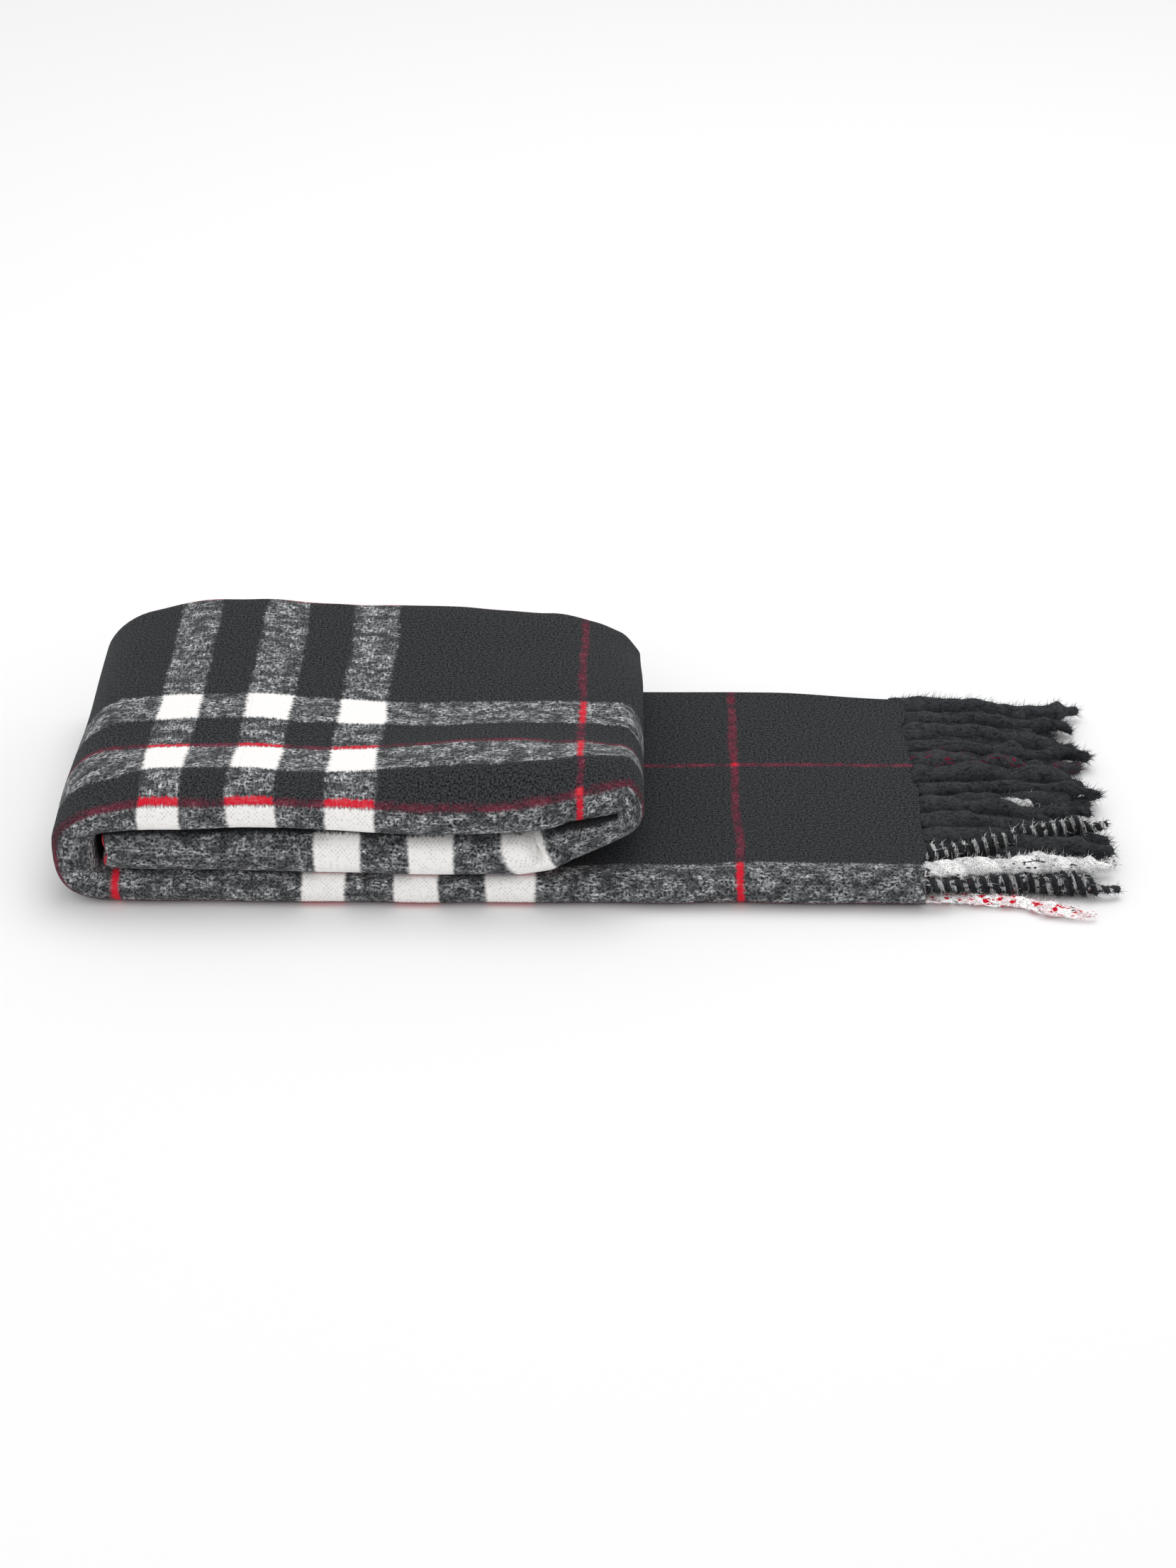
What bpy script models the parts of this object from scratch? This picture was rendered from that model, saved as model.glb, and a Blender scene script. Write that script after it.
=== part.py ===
"""A fringed plaid throw, folded into a long strip and rolled up flat.

Metres, +Z up, origin on the floor under the middle of its bounding box. The strip runs
along X: the roll is at -X and the fringe at +X. The folded front edge faces -Y. From the
fringe the strip lies on the floor under the roll, turns up at the left, comes back over
the top, turns under at the right and ends inside, at the fold in the middle of its length.
"""

import math

import bmesh
import bpy

# Driving dimensions
OVERALL_LENGTH = 0.484
STRIP_DEPTH = 0.175
STRIP_THICK = 0.0172  # eight plies of brushed cloth
ROLL_LENGTH = 0.267
TAIL_LENGTH = 0.128  # from the right end of the roll to the cloth's edge
TOP_SLACK = 0.0052  # air between the middle and the top layer
JOIN_GAP = 0.0003
FRONT_ROUND = 0.0074
BACK_ROUND = 0.0040

# Heights of the three layers
MIDDLE_LOW = STRIP_THICK + JOIN_GAP
MIDDLE_HIGH = MIDDLE_LOW + STRIP_THICK
TOP_LOW = MIDDLE_HIGH + TOP_SLACK
TOP_HIGH = TOP_LOW + STRIP_THICK

# Places along the strip
ROLL_LEFT = -OVERALL_LENGTH / 2
ROLL_RIGHT = ROLL_LEFT + ROLL_LENGTH
CLOTH_END = ROLL_RIGHT + TAIL_LENGTH
TAIL_HINGE = ROLL_RIGHT + 0.003
ROLL_AXIS_X = ROLL_LEFT + 0.005
LEFT_BEND_INNER = (TOP_LOW - STRIP_THICK) / 2
RIGHT_BEND_INNER = (TOP_LOW - MIDDLE_HIGH) / 2
LEFT_BEND_X = ROLL_LEFT + LEFT_BEND_INNER + STRIP_THICK
RIGHT_BEND_X = ROLL_RIGHT - RIGHT_BEND_INNER - STRIP_THICK
LENGTH_FOLD_X = ROLL_LEFT + 0.031
BEND_STEPS = 14

# Tassels, in four rows of lanes that lie between each other
TASSEL_RADIUS = 0.0033
LANES = 12
LANE_PITCH = 0.0146
LOWEST_ROW = 0.0030
ROW_RISE = 0.0036
LEAF_ROWS = 2
LONGEST_LANE = 2
LOWER_SETBACK = 0.012  # the lower leaf's cloth ends lie a little further back
UNEVEN_CUT = 0.009
FRINGE_HINGE_HEIGHT = 0.0181
TASSEL_POINTS = 9

# Colours, linear
CHARCOAL = (0.030, 0.032, 0.036)
HEATHER = (0.160, 0.163, 0.168)
CREAM = (0.720, 0.700, 0.660)
RED = (0.560, 0.035, 0.045)


def start_scene():
    for old in list(bpy.data.objects):
        bpy.data.objects.remove(old, do_unlink=True)
    throw = bpy.data.collections.new("folded_throw")
    bpy.context.scene.collection.children.link(throw)
    return throw


def cloth_material(name, colour):
    material = bpy.data.materials.new(name)
    material.use_nodes = True
    shader = material.node_tree.nodes["Principled BSDF"]
    shader.inputs["Base Color"].default_value = (*colour, 1)
    shader.inputs["Roughness"].default_value = 0.95
    shader.inputs["Metallic"].default_value = 0.0
    return material


def joint_empty(name, x, z):
    """An empty on a joint's axis, which runs across the strip."""
    empty = bpy.data.objects.new(name, None)
    empty.location = (x, 0, z)
    throw.objects.link(empty)
    return empty


def put(name, data, material, parent):
    """Adds an object whose points are in the part's frame, with its origin at its parent."""
    data.materials.append(material)
    made = bpy.data.objects.new(name, data)
    throw.objects.link(made)
    if parent:
        made.parent = parent
        made.location = -parent.location
    return made


def section_outline(low, high):
    """The strip's rounded cross-section between two heights, as (y, z) points."""
    front = min(FRONT_ROUND, 0.45 * (high - low))
    back = min(BACK_ROUND, 0.45 * (high - low))
    half = STRIP_DEPTH / 2
    corners = (
        (half - back, high - back, back, 0),
        (-half + front, high - front, front, 90),
        (-half + front, low + front, front, 180),
        (half - back, low + back, back, 270),
    )
    steps = 4
    outline = []
    for y, z, radius, first in corners:
        for step in range(steps + 1):
            turn = math.radians(first + 90 * step / steps)
            outline.append((y + radius * math.cos(turn), z + radius * math.sin(turn)))
    return outline


def section_face(mesh, x, low, high):
    return mesh.faces.new([mesh.verts.new((x, y, z)) for y, z in section_outline(low, high)])


def finished(mesh, name):
    """The mesh data of a swept length of strip, with its normals out and its faces smooth."""
    bmesh.ops.recalc_face_normals(mesh, faces=mesh.faces)
    data = bpy.data.meshes.new(name)
    mesh.to_mesh(data)
    mesh.free()
    data.shade_smooth()
    data.set_sharp_from_angle(angle=math.radians(50))
    return data


def straight_length(name, x_from, x_to, low, parent):
    """A flat length of the strip, the section drawn out along X."""
    mesh = bmesh.new()
    start = section_face(mesh, x_from, low, low + STRIP_THICK)
    drawn = bmesh.ops.extrude_face_region(mesh, geom=[start])["geom"]
    moved = [part for part in drawn if isinstance(part, bmesh.types.BMVert)]
    bmesh.ops.translate(mesh, verts=moved, vec=(x_to - x_from, 0, 0))
    return put(name, finished(mesh, name), plaid, parent)


def bent_length(name, x, low, high, centre, side, parent):
    """A half turn of the strip, the section spun about Y from its upper to its lower end.

    low and high are the upper end's heights, and side is -1 for a bend to the left."""
    mesh = bmesh.new()
    start = section_face(mesh, x, low, high)
    bmesh.ops.spin(
        mesh,
        geom=[start, *start.edges, *start.verts],
        cent=(x, 0, centre),
        axis=(0, side, 0),
        angle=math.pi,
        steps=BEND_STEPS,
        use_duplicate=False,
    )
    return put(name, finished(mesh, name), plaid, parent)


def tassel_wave(share, lane_y):
    """How far a tassel strays sideways, at a share of its length, 0 at the cloth."""
    ease = share * share * (3 - 2 * share)
    slow = 0.0026 * math.sin(math.tau * (0.80 * share + lane_y / 0.16))
    quick = 0.0008 * math.sin(math.tau * (1.60 * share - lane_y / 0.09) + 1.3)
    return ease * (slow + quick)


def tassel_length(row, lane):
    """Tassels are cut by hand, so one in the top row is the longest and the rest vary."""
    length = OVERALL_LENGTH / 2 - CLOTH_END - JOIN_GAP
    if row < LEAF_ROWS:
        length -= LOWER_SETBACK
    return length - UNEVEN_CUT * math.sin(1.05 * (lane - LONGEST_LANE) + 0.85 * (row - 3)) ** 2


def tassel(name, row, lane):
    """One twisted tassel, a tapering tube that wanders in its lane."""
    shift = LANE_PITCH / 4 * (1 if row % 2 else -1)
    lane_y = (lane - (LANES - 1) / 2) * LANE_PITCH + shift
    height = LOWEST_ROW + row * ROW_RISE
    length = tassel_length(row, lane)
    curve = bpy.data.curves.new(name, "CURVE")
    curve.dimensions = "3D"
    curve.bevel_depth = TASSEL_RADIUS
    curve.bevel_resolution = 1
    curve.use_fill_caps = True
    spline = curve.splines.new("POLY")
    spline.points.add(TASSEL_POINTS - 1)
    for number, point in enumerate(spline.points):
        share = number / (TASSEL_POINTS - 1)
        y = lane_y * (1 - 0.035 * share) + tassel_wave(share, lane_y)
        point.co = (CLOTH_END + JOIN_GAP + share * length, y, height, 1)
        point.radius = 1.0 - 0.35 * share**3
    return put(name, curve, tassel_material(row, lane), fringe_axis)


def tassel_material(row, lane):
    """The warp runs out into the tassels: cream where there are bars, red in the line."""
    upper = row >= LEAF_ROWS
    if lane == 0 or (not upper and lane in (3, 5)):
        return cream_yarn
    if upper and lane == 7:
        return red_yarn
    if lane == 1:
        return heather_yarn
    return black_yarn


throw = start_scene()
plaid = cloth_material("plaid_cloth", CHARCOAL)
black_yarn = cloth_material("black_yarn", CHARCOAL)
heather_yarn = cloth_material("heather_yarn", HEATHER)
cream_yarn = cloth_material("cream_yarn", CREAM)
red_yarn = cloth_material("red_yarn", RED)

# The roll opens about a line inside the cloth of its left bend. The tail lifts about its
# upper edge where it leaves the roll, and the fringe about the upper edge of the cloth's end.
roll_axis = joint_empty("roll_open_axis", ROLL_AXIS_X, TOP_HIGH / 2)
tail_axis = joint_empty("tail_lift_axis", TAIL_HINGE, STRIP_THICK)
fringe_axis = joint_empty("fringe_lift_axis", CLOTH_END, FRINGE_HINGE_HEIGHT)

half_gap = JOIN_GAP / 2
straight_length("bottom_panel", LEFT_BEND_X + half_gap, TAIL_HINGE - half_gap, 0, None)
straight_length("tail_panel", TAIL_HINGE + half_gap, CLOTH_END, 0, tail_axis)
straight_length("top_panel", LEFT_BEND_X + half_gap, RIGHT_BEND_X - half_gap, TOP_LOW, roll_axis)
straight_length(
    "middle_panel", LENGTH_FOLD_X + half_gap, RIGHT_BEND_X - half_gap, MIDDLE_LOW, roll_axis
)
bent_length("left_bend", LEFT_BEND_X - half_gap, TOP_LOW, TOP_HIGH, TOP_HIGH / 2, -1, None)
bent_length(
    "right_bend",
    RIGHT_BEND_X + half_gap,
    TOP_LOW,
    TOP_HIGH,
    (TOP_HIGH + MIDDLE_LOW) / 2,
    1,
    roll_axis,
)
fold_centre = MIDDLE_LOW + STRIP_THICK / 2
bent_length(
    "length_fold",
    LENGTH_FOLD_X - half_gap,
    fold_centre + JOIN_GAP,
    MIDDLE_HIGH,
    fold_centre,
    -1,
    roll_axis,
)

for row in range(2 * LEAF_ROWS):
    leaf = "upper" if row >= LEAF_ROWS else "lower"
    for lane in range(LANES):
        number = (row % LEAF_ROWS) * LANES + lane + 1
        tassel(f"{leaf}_tassel_{number:02d}", row, lane)
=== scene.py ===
"""A fringed plaid throw, folded into a strip of eight plies and rolled up flat.

Metres, +Z up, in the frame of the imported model: the roll lies at -X, the fringe at +X and the
folded front edge faces -Y. Each section makes one length of the cloth or one set of tassels.
"""

import math
import random

import bpy
import numpy as np
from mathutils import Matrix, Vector, noise


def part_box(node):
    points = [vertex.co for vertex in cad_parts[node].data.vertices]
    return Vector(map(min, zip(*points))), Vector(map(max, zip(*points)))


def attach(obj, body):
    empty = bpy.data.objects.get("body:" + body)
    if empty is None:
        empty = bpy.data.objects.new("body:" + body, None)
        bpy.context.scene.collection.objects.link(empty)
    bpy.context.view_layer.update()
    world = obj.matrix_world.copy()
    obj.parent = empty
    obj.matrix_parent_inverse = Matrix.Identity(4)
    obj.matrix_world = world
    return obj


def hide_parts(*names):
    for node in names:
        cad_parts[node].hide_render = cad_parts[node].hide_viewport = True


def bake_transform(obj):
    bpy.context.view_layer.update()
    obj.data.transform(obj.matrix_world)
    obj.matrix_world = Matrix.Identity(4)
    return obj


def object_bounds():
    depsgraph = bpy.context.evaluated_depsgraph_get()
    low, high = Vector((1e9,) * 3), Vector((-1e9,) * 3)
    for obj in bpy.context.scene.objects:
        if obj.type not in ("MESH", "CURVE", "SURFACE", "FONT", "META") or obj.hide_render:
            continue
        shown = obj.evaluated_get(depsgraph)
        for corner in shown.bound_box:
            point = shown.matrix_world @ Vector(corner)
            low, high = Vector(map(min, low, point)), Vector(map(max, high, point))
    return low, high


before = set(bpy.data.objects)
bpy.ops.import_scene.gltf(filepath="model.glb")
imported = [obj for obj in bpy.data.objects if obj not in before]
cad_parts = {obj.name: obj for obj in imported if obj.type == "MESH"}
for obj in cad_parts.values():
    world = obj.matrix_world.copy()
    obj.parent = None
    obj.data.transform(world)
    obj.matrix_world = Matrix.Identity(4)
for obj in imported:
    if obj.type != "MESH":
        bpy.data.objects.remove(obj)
cad_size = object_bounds()
bpy.ops.object.select_all(action="DESELECT")


# ---------------------------------------------------------------------------------------
# The tail and the bottom length: the cut end of the cloth, four plies of each half, which
# runs left along the floor under the roll. Brushed woven plaid, folded and not sewn.
# ---------------------------------------------------------------------------------------
CLOTH_WIDTH = 0.70
CLOTH_LENGTH = 1.84
CLOTH_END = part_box("tail_panel")[1].x
ROLL_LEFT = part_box("left_bend")[0].x
STRIP_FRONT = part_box("tail_panel")[0].y
STRIP_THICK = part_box("tail_panel")[1].z
PLY = STRIP_THICK / 8
PLY_SOLID = 0.92 * PLY
LAYER_GAP = 0.0003

FRONT_CENTRE = STRIP_FRONT + STRIP_THICK / 2
FRONT_FOLD = 0.173  # from the cloth's long edge to the fold that faces the front
FRONT_SQUARENESS = 2.35
BACK_EDGES = {"outer": (0.0828, 0.0866, 0.0846), "inner": (0.0848, 0.0846, 0.0862)}
SECTION_STEPS = (28, 19, 30, 6, 12, 9, 12)

LEFT_BEND_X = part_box("left_bend")[1].x
LEFT_BEND_LENGTH = 0.058
LEFT_BEND_REACH = 0.0186
LEFT_BEND_SPREAD = 1.16  # the inner plies crumple away from the outer ones
RIGHT_BEND_REACH = 0.0056
RIGHT_BEND_SQUASH = 0.68
RIGHT_BEND_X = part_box("right_bend")[1].x - RIGHT_BEND_REACH - RIGHT_BEND_SQUASH * STRIP_THICK / 2
RIGHT_BEND_LENGTH = 0.0254
LENGTH_FOLD_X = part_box("middle_panel")[0].x
FOLD_PUSH = 0.0040

# Distances along the strip, from the cut end, at which each straight length ends
BOTTOM_END = CLOTH_END - LEFT_BEND_X
LEFT_BEND_END = BOTTOM_END + LEFT_BEND_LENGTH
TOP_END = LEFT_BEND_END + RIGHT_BEND_X - LEFT_BEND_X
RIGHT_BEND_END = TOP_END + RIGHT_BEND_LENGTH
STRIP_END = RIGHT_BEND_END + RIGHT_BEND_X - LENGTH_FOLD_X

# The cloth gives a little as it is rolled, so the x at which each of the plaid's lines and bars
# lies is matched with its distance from the cloth's cut end, on the flat cloth
BOTTOM_MARKS = ((CLOTH_END, 0), (0.069, 0.078), (-0.035, 0.176), (-0.0775, 0.218),
                (-0.120, 0.260), (-0.2126, 0.358))
TOP_MARKS = ((-0.190, 0.456), (-0.1475, 0.498), (-0.1035, 0.540), (-0.003, 0.638))
MIDDLE_MARKS = ((-0.0294, 0.736), (-0.0705, 0.778), (-0.1125, 0.820), (-0.2145, 0.918))
STRIP_MARKS = ([CLOTH_END - x for x, _ in BOTTOM_MARKS]
               + [LEFT_BEND_END + x - LEFT_BEND_X for x, _ in TOP_MARKS]
               + [RIGHT_BEND_END + RIGHT_BEND_X - x for x, _ in MIDDLE_MARKS])
CLOTH_MARKS = [u for _, u in BOTTOM_MARKS + TOP_MARKS + MIDDLE_MARKS]


def eased(value, low, high):
    """0 below low, 1 above high, and smooth between."""
    share = np.clip((value - low) / (high - low), 0, 1)
    return share * share * (3 - 2 * share)


def cross_section(half):
    """One half of the cloth across the strip: y, height in the strip and place on the cloth.

    It starts at the long edge at the back, wraps round the front, doubles back at the fold
    in the cloth's middle, wraps round the front again and ends at the other long edge."""
    wraps = (3.5 * PLY, 2.5 * PLY) if half == "outer" else (0.5 * PLY, 1.5 * PLY)
    backs = BACK_EDGES[half]
    steps = SECTION_STEPS
    first, second = wraps
    start_1 = FRONT_FOLD - math.pi * first / 2
    start_2 = CLOTH_WIDTH - FRONT_FOLD - math.pi * second / 2
    middle = 4 * PLY

    def straight(y_from, y_to, height, v_from, v_to, count):
        share = np.arange(count) / count
        return (y_from + (y_to - y_from) * share, np.full(count, height),
                v_from + (v_to - v_from) * share)

    def wrap(radius, side, v_from, count):
        turn = math.pi * (np.arange(count) / count - 0.5)
        power = 2 / FRONT_SQUARENESS
        reach = radius * np.abs(np.cos(turn)) ** power
        rise = radius * np.sign(turn) * np.abs(np.sin(turn)) ** power
        return (FRONT_CENTRE - reach, middle + side * rise,
                v_from + (turn / math.pi + 0.5) * math.pi * radius)

    def back_fold(y, low, high, count):
        turn = math.pi * np.arange(count) / count
        size = (high - low) / 2
        return (y + abs(size) * np.sin(turn), (low + high) / 2 - size * np.cos(turn),
                CLOTH_WIDTH / 2 + abs(size) * (turn - math.pi / 2))

    fold_half = math.pi * PLY / 4
    runs = (
        straight(backs[0], FRONT_CENTRE, middle - first, 0, start_1, steps[0]),
        wrap(first, 1, start_1, steps[1]),
        straight(FRONT_CENTRE, backs[1], middle + first, start_1 + math.pi * first,
                 CLOTH_WIDTH / 2 - fold_half, steps[2]),
        back_fold(backs[1], middle + first, middle + second, steps[3]),
        straight(backs[1], FRONT_CENTRE, middle + second, CLOTH_WIDTH / 2 + fold_half,
                 start_2, steps[4]),
        wrap(second, -1, start_2, steps[5]),
        straight(FRONT_CENTRE, backs[2], middle - second, start_2 + math.pi * second,
                 CLOTH_WIDTH, steps[6]),
    )
    last = ([backs[2]], [middle - second], [CLOTH_WIDTH])
    return [np.concatenate(part) for part in zip(*runs, last)]


def rough(points, scale, layer):
    """Slow unevenness, the same at each run, between about -1 and 1."""
    return np.array([noise.noise(Vector((x * scale, y * scale, layer))) for x, y in points])


def arc(turn, squareness):
    """A quarter or half turn, from round at 2 to nearly square: its sine and cosine."""
    power = 2 / squareness
    sine, cosine = np.sin(turn), np.cos(turn)
    return np.abs(sine) ** power, np.sign(cosine) * np.abs(cosine) ** power


# How thick the strip is, as a share of eight plies: at the front, and how much more at the
# back. The roll's weight presses the bottom length thin at the front of its right half, and
# the middle length fills the room there
LOW_THICK = 0.948
LOW_BACK = 0.095
LOW_PRESSED = 0.13
HIGH_THICK = 0.920
HIGH_BACK = 0.123
PUFF_FRONT = 0.115
PUFF_BACK = 0.105
MIDDLE_FRONT = 0.14
# The air under the top length, which arches over a hump in the length inside the roll
SLACK = 0.0011
SLACK_HUMP = 0.0024
HUMP_X = -0.150
HUMP_WIDTH = 0.055


def strip_place(s, y, w):
    """Where the cloth lies at a distance s along the strip, at y and at height w in it."""
    places = (s < BOTTOM_END, s < LEFT_BEND_END, s < TOP_END, s < RIGHT_BEND_END)
    flat_x = np.select(
        places,
        [CLOTH_END - s, np.full_like(s, LEFT_BEND_X), LEFT_BEND_X + s - LEFT_BEND_END,
         np.full_like(s, RIGHT_BEND_X)],
        RIGHT_BEND_X - (s - RIGHT_BEND_END),
    )
    # The strip puffs up towards the back, most of all in the upper lengths
    back = eased(y, -0.050, 0.085)
    tail = eased(flat_x, 0.030, 0.075)
    pressed = eased(flat_x, -0.200, -0.040) * (1 - eased(flat_x, -0.020, 0.020))
    low_thick = LOW_THICK + LOW_BACK * np.maximum(back, 0.95 * tail)
    low_thick = low_thick - LOW_PRESSED * pressed * (1 - eased(y, -0.075, -0.02))
    puff = PUFF_FRONT * eased(y, -0.083, -0.038) + PUFF_BACK * back
    high_thick = HIGH_THICK + HIGH_BACK * back + puff
    mid_thick = high_thick + (MIDDLE_FRONT + LOW_PRESSED * pressed) * (1 - eased(y, -0.070, -0.020))
    through = w - STRIP_THICK / 2
    hump = np.exp(-(((flat_x - HUMP_X) / HUMP_WIDTH) ** 2))
    slack = SLACK + (1 - back) * SLACK_HUMP * hump
    bottom = STRIP_THICK * low_thick / 2
    middle = 2 * bottom + LAYER_GAP + STRIP_THICK * mid_thick / 2
    top = middle + slack + STRIP_THICK * (mid_thick + high_thick) / 2
    left_share = np.clip((s - BOTTOM_END) / LEFT_BEND_LENGTH, 0, 1)
    left_thick = low_thick + (high_thick - low_thick) * eased(left_share, 0, 1)
    inner = np.clip(-through / (STRIP_THICK / 2), 0, 1)
    lower = 1 - eased(left_share, 0.3, 0.7)
    left_sine, left_cosine = arc(math.pi * left_share, 2.15 + 0.9 * inner + 0.75 * lower)
    right_share = np.clip((s - TOP_END) / RIGHT_BEND_LENGTH, 0, 1)
    right_sine, right_cosine = arc(math.pi * right_share, 2.1)
    right_thick = high_thick + (mid_thick - high_thick) * right_share
    x = np.select(
        places,
        [flat_x,
         flat_x - (LEFT_BEND_REACH + LEFT_BEND_SPREAD * through) * left_sine,
         flat_x,
         flat_x + (RIGHT_BEND_REACH + RIGHT_BEND_SQUASH * through) * right_sine],
        flat_x,
    )
    z = np.select(
        places,
        [bottom - through * low_thick,
         (top + bottom) / 2 - ((top - bottom) / 2 + through * left_thick) * left_cosine,
         top + through * high_thick,
         (top + middle) / 2 + ((top - middle) / 2 + through * right_thick) * right_cosine],
        middle - through * mid_thick,
    )
    return x, z


# At the roll's right end the front lifts off the length below and curls back. For each x, how
# far the underside of the lip, the slit between the two lengths and the top front edge rise
LIP_X = (-0.042, -0.0300, -0.0165, -0.0083, 0.0063, 0.0165, 0.025)
LIP_RISE = (0, 0, 0.0024, 0.0066, 0.0142, 0.0193, 0.0210)
SLIT_RISE = (0, 0.0003, 0.0027, 0.0060, 0.0076, 0.0092, 0.0104)
EDGE_RISE = (0.0006, 0.0026, 0.0048, 0.0058, 0.0088, 0.0092, 0.0086)
EDGE_RECESS = (0, 0, 0.0010, 0.0024, 0.0048, 0.0060, 0.0066)
LIP_HEIGHTS = (0.0150, 0.0350, 0.0520)
# Creases of the front, and one bulge: start x and z, end x and z, width and depth
CREASES = (
    (-0.0215, 0.0340, -0.0080, 0.0258, 0.0014, 0.0050),
    (-0.0260, 0.0345, -0.0215, 0.0270, 0.0021, 0.0085),
    (-0.0600, 0.0340, -0.0160, 0.0362, 0.0024, 0.0070),
    (-0.2050, 0.0347, -0.0600, 0.0340, 0.0018, 0.0045),
    (0.0160, 0.0560, 0.0176, 0.0568, 0.0022, 0.0030),
    (-0.0100, 0.0378, 0.0165, 0.0430, 0.0030, -0.0046),
    (-0.2395, 0.0300, -0.2260, 0.0350, 0.0016, 0.0016),
)
# The top length swells just behind its front edge: by so much at the left, and so much more
# from the middle on, before it lies down towards the back
BROW_LEFT = 0.0042
BROW_MORE = 0.0043
CORNER_DROOP = 0.0034


def settled(x, y, z, rolled):
    """The soft unevenness of a folded throw, the same through all the plies at a place.

    rolled is 1 for the lengths above the bottom one."""
    near_front = 1 - eased(y, -0.080, -0.045)
    wander = rough(zip(x, z), 24, 3.7)
    swell = rough(zip(x, y), 17, 8.1)
    ripple = rough(zip(x, y), 48, 5.2)
    high = eased(z, 0.012, 0.040)
    y = y + near_front * 0.0016 * wander
    z = z * (1 + 0.020 * swell + 0.010 * ripple * high)
    # The shoulders slope off at the back, and the corners there are rounder than the front's
    slope = 0.0055 * (1 - eased(x, -0.226, -0.180)) + 0.0035 * eased(x, -0.075, -0.020)
    slope = slope + 0.0085 * eased(x, -0.020, 0.022) - 0.0014 * (1 - eased(x, -0.165, -0.110))
    slope = slope + 0.0034 * eased(x, 0.002, 0.022) * eased(y, 0.030, 0.088)
    z = z - eased(y, 0.0, 0.085) * slope * eased(z, 0.030, 0.060)
    # The brow behind the front edge, and the left corner, which droops
    upper = eased(z, 0.036, 0.051)
    further = eased(x, -0.125, -0.055)
    left_brow = BROW_LEFT * (1 - eased(y, -0.070, -0.036)) + 0.0022 * eased(y, -0.045, -0.015)
    left_brow = left_brow * eased(x, -0.222, -0.190) * (1 - 0.5 * eased(x, -0.160, -0.125))
    right_brow = BROW_LEFT + BROW_MORE - 0.0022 * eased(x, -0.035, -0.012)
    right_brow = right_brow - 0.0030 * eased(x, -0.006, 0.014)
    right_brow = right_brow * (1 - eased(y, -0.070, 0.010))
    brow = left_brow * (1 - further) + right_brow * further
    z = z + upper * eased(y, -0.0854, -0.0660) * brow
    z = z - CORNER_DROOP * (1 - eased(x, -0.232, -0.196)) * near_front * eased(z, 0.030, 0.048)
    # The right end's lip
    curl = (1 - eased(y, -0.076, -0.030)) * rolled
    rises = [np.interp(x, LIP_X, rise) for rise in (LIP_RISE, SLIT_RISE, EDGE_RISE)]
    low_share = np.clip((z - LIP_HEIGHTS[0]) / (LIP_HEIGHTS[1] - LIP_HEIGHTS[0]), 0, 1)
    high_share = np.clip((z - LIP_HEIGHTS[1]) / (LIP_HEIGHTS[2] - LIP_HEIGHTS[1]), 0, 1)
    rise = np.where(z < LIP_HEIGHTS[1], rises[0] + (rises[1] - rises[0]) * low_share,
                    rises[1] + (rises[2] - rises[1]) * high_share)
    z = z + curl * rise
    y = y + curl * np.interp(x, LIP_X, EDGE_RECESS) * eased(z, 0.030, 0.052)
    for x_1, z_1, x_2, z_2, width, depth in CREASES:
        along = np.array((x_2 - x_1, z_2 - z_1))
        size = along @ along
        share = np.clip(((x - x_1) * along[0] + (z - z_1) * along[1]) / size, 0, 1)
        away = (x - x_1 - share * along[0]) ** 2 + (z - z_1 - share * along[1]) ** 2
        y = y + depth * np.exp(-away / width**2) * (1 - eased(y, -0.074, -0.048))
    return y, z


OUTER = cross_section("outer")
INNER = cross_section("inner")


# How the plaid has shifted on the folded cloth: across the front where the strip turns under,
# back where the top swells, and askew at the left of the top and at the twisted right square
FRONT_SLIP = 0.0050
SWELL_SHIFT = 0.0042
SWELL_SHIFT_LESS = 0.0026
ASKEW = 0.0030
TWISTED = 0.0096
# The cut end is ragged from thread to thread and waved from tassel to tassel
RAGGED = 0.0016
WAVED = 0.0046


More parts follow.
